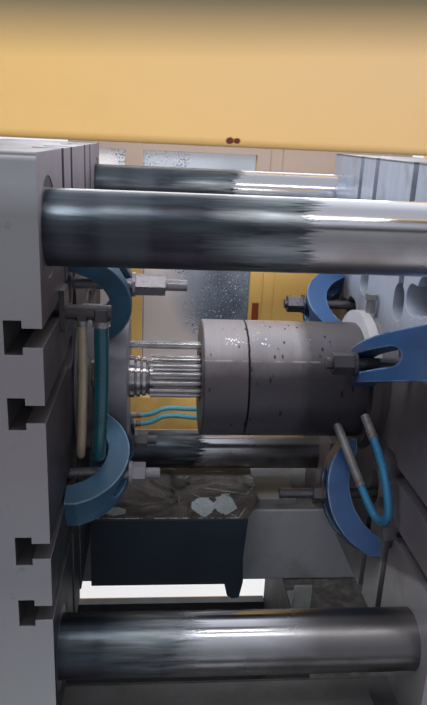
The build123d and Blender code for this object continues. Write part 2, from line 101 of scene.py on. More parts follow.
def linear(*rgb):
    """A colour written as on screen, 0 to 1, as the shader's linear colour."""
    return tuple(c / 12.92 if c <= 0.04045 else ((c + 0.055) / 1.055) ** 2.4 for c in rgb) + (1.0,)


class Shader:
    """A material under construction: a few words for the nodes that every finish here uses."""

    def __init__(self, name):
        self.material = bpy.data.materials.new(name)
        self.material.use_nodes = True
        self.tree = self.material.node_tree
        self.bsdf = self.tree.nodes["Principled BSDF"]
        self.place = self.add("ShaderNodeTexCoord").outputs["Object"]

    def add(self, kind):
        """A new node."""
        return self.tree.nodes.new(kind)

    def join(self, source, target):
        """Link an output to an input."""
        self.tree.links.new(source, target)

    def feed(self, value, socket):
        """Link a socket, or set a plain value."""
        if isinstance(value, bpy.types.NodeSocket):
            self.join(value, socket)
        else:
            socket.default_value = value

    def stretched(self, scale):
        """Object coordinates scaled by axis, so that marks run long one way."""
        node = self.add("ShaderNodeMapping")
        node.inputs["Scale"].default_value = scale
        self.join(self.place, node.inputs["Vector"])
        return node.outputs["Vector"]

    def noise(self, scale, detail=4.0, rough=0.55, where=None, warp=0.0):
        """Cloudy noise, 0 to 1; where takes stretched coordinates."""
        node = self.add("ShaderNodeTexNoise")
        node.inputs["Scale"].default_value = scale
        node.inputs["Detail"].default_value = detail
        node.inputs["Roughness"].default_value = rough
        node.inputs["Distortion"].default_value = warp
        self.join(self.place if where is None else where, node.inputs["Vector"])
        return node.outputs["Fac"]

    def cells(self, scale, where=None, feature="F1"):
        """Distance to the nearest of many scattered points, or to the cells' edges."""
        node = self.add("ShaderNodeTexVoronoi")
        node.feature = feature
        node.inputs["Scale"].default_value = scale
        self.join(self.place if where is None else where, node.inputs["Vector"])
        return node.outputs["Distance"]

    def ramp(self, value, low, high):
        """0 below low, 1 above high, a straight line between."""
        node = self.add("ShaderNodeMapRange")
        node.inputs["From Min"].default_value = low
        node.inputs["From Max"].default_value = high
        self.join(value, node.inputs["Value"])
        return node.outputs["Result"]

    def math(self, how, a, b=0.0):
        """One operation, such as MAXIMUM, on sockets or plain values."""
        node = self.add("ShaderNodeMath")
        node.operation = how
        self.feed(a, node.inputs[0])
        self.feed(b, node.inputs[1])
        return node.outputs[0]

    def times(self, a, b):
        return self.math("MULTIPLY", a, b)

    def plus(self, a, b):
        return self.math("ADD", a, b)

    def minus(self, a, b):
        return self.math("SUBTRACT", a, b)

    def mix(self, amount, a, b):
        """Colour a where amount is 0, colour b where it is 1."""
        node = self.add("ShaderNodeMix")
        node.data_type = "RGBA"
        # The node has inputs for every data type: 6 and 7 are the two colours, output 2 is their mix.
        self.feed(amount, node.inputs["Factor"])
        self.feed(a, node.inputs[6])
        self.feed(b, node.inputs[7])
        return node.outputs[2]

    def axis(self, name):
        """One coordinate, such as the height z."""
        node = self.add("ShaderNodeSeparateXYZ")
        self.join(self.place, node.inputs[0])
        return node.outputs[name]

    def normal(self, name):
        """One component of the surface's own direction."""
        node = self.add("ShaderNodeSeparateXYZ")
        self.join(self.add("ShaderNodeTexCoord").outputs["Normal"], node.inputs[0])
        return node.outputs[name]

    def within(self, name, low, high, soft=0.002):
        """1 where one coordinate lies between low and high."""
        place = self.axis(name)
        return self.times(self.ramp(place, low, low + soft), self.ramp(place, high, high - soft))

    def blob(self, centre, radii):
        """Distance from centre, 1 on the ellipsoid with these radii; a radius of 0 leaves its axis out."""
        node = self.add("ShaderNodeMapping")
        node.inputs["Location"].default_value = [-c / r if r else 0 for c, r in zip(centre, radii)]
        node.inputs["Scale"].default_value = [1 / r if r else 0 for r in radii]
        self.join(self.place, node.inputs["Vector"])
        length = self.add("ShaderNodeVectorMath")
        length.operation = "LENGTH"
        self.join(node.outputs["Vector"], length.inputs[0])
        return length.outputs["Value"]

    def edges(self, radius):
        """1 near sharp edges, 0 on flat faces."""
        soft = self.add("ShaderNodeBevel")
        soft.samples = 4
        soft.inputs["Radius"].default_value = radius
        flat = self.add("ShaderNodeNewGeometry")
        dot = self.add("ShaderNodeVectorMath")
        dot.operation = "DOT_PRODUCT"
        self.join(soft.outputs[0], dot.inputs[0])
        self.join(flat.outputs["Normal"], dot.inputs[1])
        return self.ramp(dot.outputs["Value"], 0.98, 0.80)

    def colour(self, value):
        self.feed(value, self.bsdf.inputs["Base Color"])

    def rough(self, value):
        self.feed(value, self.bsdf.inputs["Roughness"])

    def metal(self, value):
        self.feed(value, self.bsdf.inputs["Metallic"])

    def bump(self, height, distance, strength=1.0, edge=0.0):
        """Relief of the given depth in metres; edge rounds sharp edges by that radius."""
        node = self.add("ShaderNodeBump")
        node.inputs["Strength"].default_value = strength
        node.inputs["Distance"].default_value = distance
        self.join(height, node.inputs["Height"])
        if edge:
            soft = self.add("ShaderNodeBevel")
            soft.samples = 4
            soft.inputs["Radius"].default_value = edge
            self.join(soft.outputs[0], node.inputs["Normal"])
        self.join(node.outputs[0], self.bsdf.inputs["Normal"])


def paint(name, rgb, dark, dirt=0.5, rough=0.38, oil_height=None, muted_height=None):
    """Sheet metal paint with faint orange peel, smudges and chips, and oily dirt below oil_height.

    Above muted_height the rear gate's inner face turns a muted tan.
    """
    s = Shader(name)
    base = linear(*rgb)
    shade = s.mix(s.noise(2.2, 3), base, linear(*dark))
    smudge = s.times(s.ramp(s.noise(9, 6, 0.65), 0.50, 0.74), dirt)
    tone = s.mix(smudge, shade, linear(*[c * 0.5 for c in dark]))
    specks = s.ramp(s.cells(150), 0.10, 0.05)
    tone = s.mix(s.times(specks, s.ramp(s.noise(30, 2), 0.55, 0.7)), tone, linear(0.22, 0.16, 0.11))
    if oil_height is not None:
        wavy = s.plus(s.axis("Z"), s.times(s.noise(14, 5), 0.16))
        low = s.ramp(wavy, oil_height + 0.16, oil_height)
        tone = s.mix(s.times(low, 0.5), tone, linear(0.20, 0.17, 0.13))
    # The rear gate's inner face turns a muted tan above this height.
    if muted_height is not None:
        inside = s.times(s.ramp(s.normal("Y"), -0.5, -0.8), s.ramp(s.axis("Y"), 0.0, 0.1))
        above = s.ramp(s.axis("Z"), muted_height, muted_height + 0.06)
        muted_tan = s.mix(s.noise(6, 4), linear(0.575, 0.505, 0.46), linear(0.515, 0.465, 0.435))
        tone = s.mix(s.times(inside, above), tone, muted_tan)
    s.colour(tone)
    s.rough(s.plus(s.times(s.noise(24, 4), 0.22), rough - 0.1))
    s.bump(s.noise(420, 2), 0.0002, 0.25, edge=0.0012)
    return s.material


def header_paint(name):
    """The front cover: warm yellow outside, paler to the right as a painted sheen, a painted shade band at
    its top, bare grey sheet on its back.
    """
    s = Shader(name)
    # Paler and less yellow towards the right: a painted sheen.
    yellow_and_sheen = s.mix(s.ramp(s.axis("X"), 0.15, 0.42), linear(0.845, 0.685, 0.415), linear(0.835, 0.695, 0.505))
    low = s.ramp(s.axis("Z"), HEADER_LOW + 0.05, HEADER_LOW)
    yellow_and_sheen = s.mix(s.times(low, 0.4), yellow_and_sheen, linear(0.835, 0.665, 0.39))
    smudge = s.times(s.ramp(s.noise(9, 6, 0.65), 0.55, 0.75), 0.12)
    tone = s.mix(smudge, yellow_and_sheen, linear(0.60, 0.46, 0.25))
    # Painted shade: a dark band near the cover's top, sloping along X.
    painted_shade_height = s.plus(s.axis("Z"), s.times(s.noise(3, 3), 0.008))
    painted_shade_height = s.plus(painted_shade_height, s.times(s.minus(0.411, s.axis("X")), 0.047))
    lower_edge = s.ramp(painted_shade_height, AXIS_Z + 0.427, AXIS_Z + 0.463)
    patchy = s.plus(painted_shade_height, s.times(s.minus(s.noise(7, 6, 0.6), 0.5), 0.22))
    painted_shade_band = s.times(lower_edge, s.ramp(patchy, AXIS_Z + 0.63, AXIS_Z + 0.53))
    tone = s.mix(painted_shade_band, tone, linear(0.44, 0.39, 0.29))
    rust = s.blob((COVER_RUST[0] - 0.0024, 0, COVER_RUST[2]), (0.0028, 0, 0.0022))
    rust = s.math("MINIMUM", rust, s.blob((COVER_RUST[0] + 0.0026, 0, COVER_RUST[2]), (0.0024, 0, 0.0019)))
    rust = s.plus(rust, s.times(s.noise(500, 3), 0.5))
    tone = s.mix(s.ramp(rust, 1.5, 1.1), tone, linear(0.38, 0.14, 0.11))
    inside = s.ramp(s.axis("Y"), COVER_Y - 0.003, COVER_Y - 0.001)
    s.colour(s.mix(inside, tone, linear(0.62, 0.63, 0.65)))
    s.rough(s.plus(s.times(s.noise(24, 4), 0.16), 0.34))
    s.bump(s.noise(420, 2), 0.0002, 0.2, edge=0.002)
    return s.material


def steel(name, rgb, dark, rough=0.35, grain=(1, 1, 1), oily=0.5, metallic=0.9):
    """Machined or cast steel with grain along one way, stains and oil."""
    s = Shader(name)
    brushed = s.noise(90, 3, 0.6, s.stretched(grain))
    shade = s.mix(brushed, linear(*rgb), linear(*[0.82 * c for c in rgb]))
    stain = s.ramp(s.noise(7, 6, 0.62, warp=0.6), 0.45, 0.68)
    tone = s.mix(s.times(stain, oily), shade, linear(*dark))
    s.colour(tone)
    s.metal(metallic)
    s.rough(s.plus(s.times(s.noise(16, 5), 0.28), rough - 0.12))
    s.bump(brushed, 0.0001, 0.5, edge=0.0008)
    return s.material


def slot_shade(s, edge_x, ahead):
    """1 inside the slots and bores of a platen whose mould face stands at edge_x and looks along ahead."""
    low, high = (edge_x - 0.5, edge_x - 0.0003) if ahead > 0 else (edge_x + 0.0003, edge_x + 0.5)
    deep = s.within("X", low, high, 0.0002)
    wide = s.within("Y", -PLATEN_Y + 0.001, PLATEN_Y - 0.001, 0.001)
    tall = s.within("Z", PLATEN_LOW + 0.001, PLATEN_TOP - 0.001, 0.001)
    return s.times(deep, s.times(wide, tall))


def moving_platen(name):
    """Cool grey milled sides with painted shade on the top face and brim; the mould face is pale at the
    top as painted light, black with grease and painted shade further down.
    """
    s = Shader(name)
    side = s.mix(s.noise(5, 5, 0.6), linear(0.385, 0.395, 0.42), linear(0.345, 0.345, 0.365))
    side = s.mix(s.times(s.ramp(s.noise(60, 4), 0.66, 0.74), 0.5), side, linear(0.26, 0.25, 0.26))
    middle = s.times(s.ramp(s.axis("Z"), AXIS_Z + 0.24, AXIS_Z + 0.16),
                    s.ramp(s.axis("Z"), AXIS_Z - 0.06, AXIS_Z + 0.02))
    side = s.mix(s.times(middle, 0.5), side, linear(0.34, 0.315, 0.335))
    side = s.mix(s.ramp(s.axis("Z"), AXIS_Z - 0.12, AXIS_Z - 0.30), side, linear(0.475, 0.485, 0.505))
    side = s.mix(s.ramp(s.axis("Z"), AXIS_Z + 0.285, AXIS_Z + 0.315), side, linear(0.47, 0.48, 0.515))
    # Painted shade along the top brim.
    painted_shade_brim = s.ramp(s.axis("Z"), PLATEN_TOP - 0.004, PLATEN_TOP - 0.002)
    side = s.mix(painted_shade_brim, side, linear(0.34, 0.345, 0.37))
    height = s.plus(s.axis("Z"), s.times(s.noise(8, 5), 0.10))
    # The mould face: darker further down with grease and painted shade, pale at the top as painted light.
    face = s.mix(s.noise(26, 5), linear(0.27, 0.24, 0.27), linear(0.15, 0.14, 0.165))
    face = s.mix(s.ramp(height, AXIS_Z + 0.10, AXIS_Z - 0.05), face, linear(0.13, 0.14, 0.165))
    face = s.mix(s.ramp(height, AXIS_Z + 0.25, AXIS_Z + 0.36), face, linear(0.52, 0.49, 0.54))
    ahead = s.ramp(s.normal("X"), 0.5, 0.8)
    tone = s.mix(ahead, side, face)
    # Painted shade on the top face, under the cover.
    top = s.times(s.ramp(s.normal("Z"), 0.5, 0.8), s.ramp(s.axis("Y"), -0.30, -0.24))
    tone = s.mix(s.times(top, 0.7), tone, linear(0.24, 0.23, 0.27))
    s.colour(s.mix(slot_shade(s, MOVING_FACE, 1), tone, linear(0.20, 0.19, 0.20)))
    s.metal(s.times(ahead, 0.25))
    s.rough(s.plus(s.times(s.noise(18, 5), 0.3), 0.36))
    s.bump(s.noise(90, 4), 0.0003, 0.4, edge=0.001)
    return s.material


def fixed_platen(name):
    """Bright wiped steel above, brown grease in the middle with grease and painted shade by the clamp, a
    paler grey below a slanting line, painted shade on the top brim.
    """
    s = Shader(name)
    brushed = s.noise(1.0, 4, 0.6, s.stretched((60, 60, 6)))
    clean = s.mix(brushed, linear(0.67, 0.71, 0.785), linear(0.555, 0.59, 0.655))
    wavy = s.times(s.noise(9, 5), 0.06)
    grease = s.mix(s.noise(20, 5), linear(0.43, 0.41, 0.43), linear(0.30, 0.28, 0.295))
    edge = s.plus(s.axis("Z"), wavy)
    tone = s.mix(s.ramp(edge, AXIS_Z + 0.17, AXIS_Z + 0.09), clean, grease)
    # Grease and painted shade between the clamp and the platen.
    corner = s.plus(s.blob((0, 0.24, AXIS_Z + 0.095), (0, 0.085, 0.075)), s.times(s.noise(22, 4), 0.8))
    tone = s.mix(s.times(s.ramp(corner, 1.6, 1.2), 0.8), tone, linear(0.27, 0.25, 0.265))
    # Paler grey below a slanting line.
    slope = s.times(s.axis("Y"), 0.463)
    slant_line = s.plus(s.plus(s.axis("Z"), slope), s.times(s.noise(6, 4), 0.02))
    wet = s.ramp(slant_line, AXIS_Z - 0.294, AXIS_Z - 0.302)
    film = s.mix(s.noise(7, 4), linear(0.57, 0.565, 0.585), linear(0.46, 0.455, 0.475))
    tone = s.mix(wet, tone, film)
    rust = s.times(s.ramp(s.noise(16, 6, 0.65), 0.55, 0.7), 0.35)
    tone = s.mix(rust, tone, linear(0.34, 0.24, 0.22))
    # Painted shade along the top brim.
    painted_shade_brim = s.ramp(s.axis("Z"), PLATEN_TOP - 0.004, PLATEN_TOP - 0.002)
    tone = s.mix(painted_shade_brim, tone, linear(0.33, 0.335, 0.36))
    s.colour(s.mix(s.times(slot_shade(s, FIXED_FACE, -1), 0.45), tone, linear(0.24, 0.25, 0.29)))
    s.metal(0.35)
    s.rough(s.plus(s.times(s.noise(14, 5), 0.25), 0.26))
    s.bump(brushed, 0.0002, 0.5, edge=0.0015)
    return s.material


def tie_bar(name, edge_x, centre_z, lean, soft, underside_shade, underside_shade_top, haze_and_shade):
    """Hard chrome, dark and streaky with grease left of edge_x, where the grease ends in torn fingers.

    The end of the grease leans with the height by lean and fades over soft to each side. A thin dull
    film and painted shade in the colour underside_shade lie below underside_shade_top, and
    haze_and_shade dulls and shades the bar right of the mould.
    """
    s = Shader(name)
    height = s.minus(s.axis("Z"), centre_z)
    tear = s.noise(1.0, 2, 0.5, s.stretched((13, 380, 380)))
    coarse = s.noise(1.0, 4, 0.6, s.stretched((7, 40, 40)))
    shift = s.times(s.plus(coarse, tear), 0.05)
    place = s.plus(s.minus(s.axis("X"), s.times(height, lean)), shift)
    grease = s.ramp(place, edge_x + 0.05 + soft, edge_x + 0.05 - soft)
    thick = s.ramp(place, edge_x, edge_x - 0.06)
    smear = s.noise(1.0, 6, 0.62, s.stretched((5, 60, 60)))
    # Painted light and shade: the grease coat is lighter on its upper half and darker below.
    lit_upper_half = s.ramp(height, -0.004, 0.012)
    wiped = s.mix(s.ramp(smear, 0.36, 0.64), linear(0.29, 0.315, 0.34), linear(0.64, 0.67, 0.70))
    coated = s.mix(lit_upper_half, linear(0.33, 0.30, 0.35), linear(0.385, 0.43, 0.475))
    coated = s.mix(s.ramp(smear, 0.38, 0.62), coated, linear(0.23, 0.235, 0.27))
    rings = s.ramp(s.noise(1.0, 2, 0.5, s.stretched((16, 0.5, 0.5))), 0.45, 0.60)
    coated = s.mix(s.times(rings, 0.22), coated, linear(0.50, 0.54, 0.57))
    fingers = s.ramp(s.noise(1.0, 3, 0.5, s.stretched((26, 300, 300))), 0.54, 0.61)
    near = s.times(s.ramp(place, edge_x + 0.022, edge_x + 0.046), fingers)
    greasy = s.mix(near, s.mix(thick, wiped, coated), linear(0.10, 0.10, 0.115))
    # A thin dull film, with painted shade on the underside and, on the lower bars, right of the mould.
    film = s.times(s.ramp(height, underside_shade_top, underside_shade_top - 0.030), s.ramp(s.noise(5, 3), 0.25, 0.55))
    dulled = s.times(s.ramp(s.axis("X"), MOULD_X + 0.01, MOULD_X + 0.10), haze_and_shade)
    film = s.math("MAXIMUM", film, dulled)
    clean = s.mix(film, linear(0.90, 0.905, 0.94), linear(*underside_shade))
    s.colour(s.mix(grease, clean, greasy))
    s.metal(1.0)
    polish = s.noise(1.0, 3, 0.5, s.stretched((2, 120, 120)))
    wet = s.plus(0.06, s.times(smear, 0.22))
    dull = s.plus(s.times(film, 0.24), s.times(polish, 0.10))
    s.rough(s.plus(s.times(grease, wet), s.plus(0.10, dull)))
    s.bump(s.times(thick, smear), 0.0010, 0.6)
    return s.material


def mould_steel(name):
    """Fine turned steel, nicked, with a dark seam; painted shade on its belly and right end, painted light
    along its bottom, a painted highlight line.
    """
    s = Shader(name)
    turned = s.noise(1.0, 3, 0.6, s.stretched((700, 8, 8)))
    tone = s.mix(turned, linear(0.60, 0.585, 0.605), linear(0.51, 0.495, 0.515))
    height = s.plus(s.axis("Z"), s.times(s.minus(s.noise(12, 5), 0.5), 0.04))
    right = s.ramp(s.axis("X"), SEAM_X - 0.001, SEAM_X + 0.001)
    # Painted shade: the belly is darker.
    shaded_belly = s.mix(right, linear(0.29, 0.27, 0.29), linear(0.235, 0.225, 0.245))
    tone = s.mix(s.ramp(height, AXIS_Z + 0.082, AXIS_Z + 0.03), tone, shaded_belly)
    # Painted light: a little lighter again along the bottom.
    tone = s.mix(s.ramp(height, AXIS_Z + 0.02, AXIS_Z - 0.05), tone, linear(0.325, 0.32, 0.36))
    # Painted shadow over the right end.
    along = s.plus(s.axis("X"), s.times(s.noise(30, 4), 0.02))
    shaded = s.times(s.ramp(along, MOULD_X + 0.105, MOULD_X + 0.125), 0.72)
    tone = s.mix(shaded, tone, linear(0.17, 0.16, 0.18))
    nick = s.ramp(s.cells(1.0, s.stretched((90, 60, 26))), 0.20, 0.12)
    nick = s.times(nick, s.ramp(s.noise(24, 3), 0.46, 0.54))
    drops = s.times(s.ramp(s.cells(120), 0.14, 0.09), s.ramp(s.noise(11, 3), 0.56, 0.62))
    drops = s.times(drops, s.ramp(s.axis("Z"), AXIS_Z + 0.03, AXIS_Z + 0.07))
    row = s.times(s.within("X", SEAM_X - 0.036, SEAM_X + 0.064), s.within("Z", *DROP_ROW_Z))
    row = s.times(row, s.ramp(s.cells(260), 0.36, 0.26))
    drops = s.math("MAXIMUM", drops, s.times(row, s.ramp(s.noise(45, 3), 0.50, 0.56)))
    tone = s.mix(nick, tone, linear(0.09, 0.08, 0.09))
    # A painted highlight line along the body.
    highlight_z = s.plus(s.axis("Z"), s.times(s.noise(40, 3), 0.001))
    low, low_end, high_end, high = MOULD_HIGHLIGHT_Z
    streak = s.times(s.ramp(highlight_z, low, low_end), s.ramp(highlight_z, high, high_end))
    streak = s.times(streak, s.ramp(s.noise(26, 5, 0.7), 0.42, 0.56))
    tone = s.mix(s.times(streak, 0.4), tone, linear(0.72, 0.71, 0.73))
    seam_x = s.plus(s.axis("X"), s.times(s.minus(s.noise(60, 4), 0.5), 0.004))
    seam_left = s.ramp(seam_x, SEAM_X - 0.0022, SEAM_X - 0.0010)
    seam = s.times(seam_left, s.ramp(seam_x, SEAM_X + 0.0022, SEAM_X + 0.0010))
    tone = s.mix(s.times(seam, 0.85), tone, linear(0.06, 0.055, 0.06))
    s.colour(s.mix(drops, tone, linear(0.96, 0.96, 0.97)))
    s.metal(0.7)
    s.rough(s.plus(s.times(s.noise(40, 5), 0.22), 0.28))
    s.bump(s.minus(turned, nick), 0.0003, 0.4, edge=0.001)
    return s.material


def clamp_paint(name, rgb, dark):
    """Thick blue paint on a rough forging, worn pale along the edges, smeared with oil."""
    s = Shader(name)
    tone = s.mix(s.noise(18, 5), linear(*rgb), linear(*dark))
    oil = s.ramp(s.noise(11, 5, 0.6), 0.5, 0.75)
    tone = s.mix(s.times(oil, 0.6), tone, linear(*[c * 0.4 for c in dark]))
    worn = s.times(s.edges(0.0040), s.ramp(s.noise(40, 4), 0.32, 0.55))
    tone = s.mix(s.times(worn, 0.75), tone, linear(0.52, 0.60, 0.70))
    s.colour(tone)
    s.rough(s.plus(s.times(s.noise(30, 4), 0.2), 0.26))
    s.bump(s.noise(70, 4), 0.0009, 0.5, edge=0.004)
    return s.material


def rubber(name, rgb, rough):
    """Matt rubber with an oily film in patches."""
    s = Shader(name)
    s.colour(s.mix(s.noise(12, 5), linear(*rgb), linear(*[1.6 * c + 0.01 for c in rgb])))
    s.rough(s.plus(s.times(s.noise(8, 4), 0.2), rough - 0.1))
    s.bump(s.noise(140, 3), 0.0004, 0.4)
    return s.material


def hose_skin(name, rgb, dark, rough=0.22):
    """Smooth glossy hose with grime that gathers in patches."""
    s = Shader(name)
    grime = s.ramp(s.noise(26, 5, 0.65), 0.5, 0.75)
    s.colour(s.mix(s.times(grime, 0.6), linear(*rgb), linear(*dark)))
    s.rough(s.plus(s.times(grime, 0.3), rough))
    s.bump(s.noise(300, 2), 0.0001, 0.3)
    s.bsdf.inputs["Coat Weight"].default_value = 0.4
    return s.material


def flange_steel(name):
    """The fixed flange: a pale disc before a neck in painted shadow, with painted shade on the rim and
    lower part.
    """
    s = Shader(name)
    tone = s.mix(s.noise(30, 4), linear(0.76, 0.76, 0.79), linear(0.62, 0.62, 0.65))
    # Painted shadow on the neck behind the disc.
    shaded_neck = s.ramp(s.axis("X"), FIXED_FACE - 0.0150, FIXED_FACE - 0.0145)
    tone = s.mix(shaded_neck, tone, linear(0.22, 0.21, 0.235))
    # Painted shade on the rim.
    rim = s.ramp(s.math("ABSOLUTE", s.normal("X")), 0.8, 0.5)
    tone = s.mix(s.times(rim, 0.7), tone, linear(0.40, 0.39, 0.41))
    # Painted shade on the lower part.
    wavy = s.plus(s.axis("Z"), s.times(s.noise(20, 3), 0.02))
    low = s.ramp(wavy, AXIS_Z + 0.085, AXIS_Z + 0.055)
    s.colour(s.mix(low, tone, linear(0.17, 0.155, 0.165)))
    s.metal(0.2)
    s.rough(s.plus(s.times(s.noise(16, 5), 0.28), 0.25))
    s.bump(s.noise(90, 4), 0.0002, 0.4, edge=0.001)
    return s.material


def tray_metal(name):
    """Sheet steel under a dark crumpled film of old grease, with bare patches and fine bright creases."""
    s = Shader(name)
    wrinkles = s.noise(13, 8, 0.68, warp=1.6)
    tone = s.mix(s.ramp(wrinkles, 0.36, 0.64), linear(0.11, 0.105, 0.11), linear(0.33, 0.315, 0.31))
    ragged = s.times(s.noise(34, 4, 0.6), 1.3)
    for x, y, wide, deep in TRAY_PATCHES:
        bare = s.ramp(s.plus(s.blob((x, y, 0), (wide, deep, 0)), ragged), 1.66, 1.58)
        tone = s.mix(bare, tone, linear(0.56, 0.60, 0.63))
    rim = s.times(s.ramp(s.axis("Y"), TRAY_FRONT, TRAY_FRONT - 0.001), s.ramp(s.noise(70, 4), 0.46, 0.54))
    tone = s.mix(rim, tone, linear(0.78, 0.80, 0.82))
    crease = s.ramp(s.cells(9, feature="DISTANCE_TO_EDGE"), 0.012, 0.0)
    crease = s.times(crease, s.ramp(s.noise(14, 3), 0.52, 0.60))
    s.colour(s.mix(crease, tone, linear(0.66, 0.67, 0.68)))
    s.metal(0.15)
    s.rough(s.plus(s.times(wrinkles, 0.6), 0.05))
    s.bump(wrinkles, 0.010, 0.9)
    return s.material


def bed_paint(name):
    """The bed: yellow outside, grey and oily on top and inside, where the swarf and drips collect; painted
    shade low inside and on faces looking along -X.
    """
    s = Shader(name)
    shade = s.mix(s.noise(2.2, 3), linear(0.84, 0.68, 0.42), linear(0.80, 0.63, 0.36))
    smudge = s.times(s.ramp(s.noise(9, 6, 0.65), 0.50, 0.74), 0.3)
    tone = s.mix(smudge, shade, linear(0.42, 0.32, 0.18))
    kick = s.ramp(s.plus(s.axis("Z"), s.times(s.noise(14, 5), 0.10)), 0.22, 0.10)
    tone = s.mix(s.times(kick, 0.6), tone, linear(0.26, 0.22, 0.17))
    oily = s.mix(s.noise(11, 6, 0.65), linear(0.225, 0.225, 0.24), linear(0.155, 0.155, 0.17))
    swarf = s.ramp(s.noise(40, 5, 0.7), 0.44, 0.66)
    spill_and_shade = s.mix(swarf, linear(0.26, 0.25, 0.25), linear(0.40, 0.385, 0.375))
    # Painted shade: the inside is blackest below SHADOW_Z.
    spill_and_shade = s.mix(s.ramp(s.axis("Z"), SHADOW_Z, SHADOW_Z + 0.05), linear(0.11, 0.11, 0.125), spill_and_shade)
    oily = s.mix(s.ramp(s.normal("Z"), 0.5, 0.8), oily, spill_and_shade)
    # Painted shade on inner faces that look along -X.
    oily = s.mix(s.times(s.ramp(s.normal("X"), -0.5, -0.8), 0.75), oily, linear(0.09, 0.09, 0.10))
    inner = s.times(s.within("Y", -BED_Y + 0.001, BED_Y - 0.001), s.within("X", -BED_END, BED_END))
    s.colour(s.mix(inner, tone, oily))
    s.rough(s.plus(s.times(s.noise(24, 4), 0.22), s.plus(0.30, s.times(inner, 0.25))))
    s.bump(s.noise(300, 2), 0.0003, 0.25, edge=0.002)
    return s.material


def beam_paint(name):
    """Grey painted beams and rails with a thin mottled film of oil; their tops dark with oil puddles and
    painted shade.
    """
    s = Shader(name)
    film = s.mix(s.noise(6, 6, 0.62), linear(0.51, 0.53, 0.56), linear(0.43, 0.435, 0.46))
    brown = s.ramp(s.noise(13, 6, 0.65, warp=0.5), 0.52, 0.70)
    tone = s.mix(s.times(brown, 0.5), film, linear(0.40, 0.385, 0.375))
    pale = s.ramp(s.noise(24, 6, 0.7), 0.64, 0.72)
    tone = s.mix(s.times(pale, 0.4), tone, linear(0.56, 0.57, 0.58))
    # Top faces: dark oil puddles and painted shade.
    top = s.times(s.ramp(s.normal("Z"), 0.5, 0.8), 0.85)
    wet = s.ramp(s.noise(17, 6, 0.65, warp=0.6), 0.42, 0.60)
    puddles_and_shade = s.mix(wet, linear(0.12, 0.115, 0.115), linear(0.23, 0.22, 0.215))
    s.colour(s.mix(top, tone, puddles_and_shade))
    s.rough(s.plus(s.times(s.noise(14, 4), 0.3), s.plus(0.30, s.times(top, 0.3))))
    s.bsdf.inputs["Specular IOR Level"].default_value = 0.25
    s.bump(s.noise(60, 4), 0.0006, 0.4, edge=0.002)
    return s.material


def pane(name, middle):
    """A plastic window: a beige film left of X = middle, blue-grey with dried splashes and their painted
    glints right of it.
    """
    s = Shader(name)
    place = s.plus(s.axis("X"), s.times(s.noise(6, 4), 0.12))
    rising = s.plus(place, s.times(s.axis("Z"), 0.5))
    start = middle + 0.5 * AXIS_Z
    wet = s.ramp(rising, start - 0.02, start + 0.05)
    film = s.mix(s.noise(9, 5), linear(0.87, 0.815, 0.80), linear(0.79, 0.745, 0.75))
    blue = s.mix(s.noise(7, 5, 0.6), linear(0.62, 0.65, 0.71), linear(0.44, 0.48, 0.54))
    right = s.ramp(s.axis("X"), middle - 0.03, middle + 0.02)
    murky = s.mix(s.ramp(s.noise(12, 5), 0.4, 0.6), linear(0.46, 0.51, 0.57), linear(0.30, 0.34, 0.40))
    blue = s.mix(s.times(right, 0.8), blue, murky)
    tone = s.mix(wet, film, blue)
    fewer = s.minus(1.0, s.times(right, 0.10))
    dense = s.times(s.ramp(rising, start - 0.08, start + 0.02), fewer)
    patches = s.ramp(s.plus(s.noise(10, 4), dense), 1.38, 1.54)
    spots = s.times(s.ramp(s.cells(210), 0.34, 0.25), patches)
    # Painted glints on the splashes.
    painted_glints = s.times(s.ramp(s.cells(150), 0.22, 0.16), patches)
    tone = s.mix(spots, tone, linear(0.13, 0.19, 0.32))
    streak = s.times(s.within("X", *PANE_STREAK_X, 0.0008), s.ramp(s.noise(50, 4), 0.36, 0.44))
    tone = s.mix(s.times(streak, 0.8), tone, linear(0.34, 0.25, 0.22))
    tone = s.mix(painted_glints, tone, linear(0.92, 0.95, 0.99))
    s.colour(tone)
    s.rough(0.3)
    clear = s.ramp(s.axis("Z"), AXIS_Z + 0.20, AXIS_Z + 0.30)
    cover = s.minus(0.90, s.times(clear, 0.50))
    s.feed(s.math("MAXIMUM", cover, spots), s.bsdf.inputs["Alpha"])
    s.bump(spots, 0.0003, 0.5)
    return s.material


